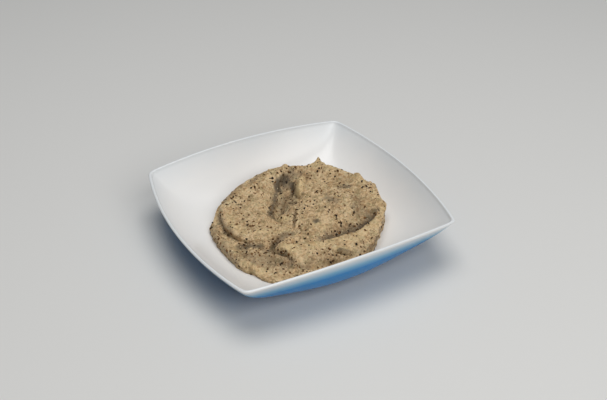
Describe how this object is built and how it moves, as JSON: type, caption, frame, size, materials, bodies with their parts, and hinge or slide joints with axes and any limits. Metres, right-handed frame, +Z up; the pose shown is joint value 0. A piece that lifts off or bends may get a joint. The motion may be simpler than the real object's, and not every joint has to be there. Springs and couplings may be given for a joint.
{
  "type": "mashed potato side",
  "caption": "Speckled mashed potato spooned into a swirled heap in a shallow square bowl with bowed sides, white inside and shading to blue outside.",
  "frame": {"origin": "middle of the foot ring's underside, on the surface that the bowl stands on", "axes": "+Z up out of the bowl, +X towards the middle of a side that bows out furthest, +Y towards the middle of a side with a raised rim"},
  "size_m": [0.1718, 0.1616, 0.0365],
  "materials": {
    "bowl_glaze": "smooth white glaze, shading to azure blue down the outside",
    "mash_paste": "moist beige potato paste with fine dark flecks and spoon marks",
    "dark_flecks": "small near-black chips and crumbs, dull and slightly moist"
  },
  "bodies": {
    "root": {"bowl": "bowl_glaze", "mash": "mash_paste"}
  },
  "joints": []
}
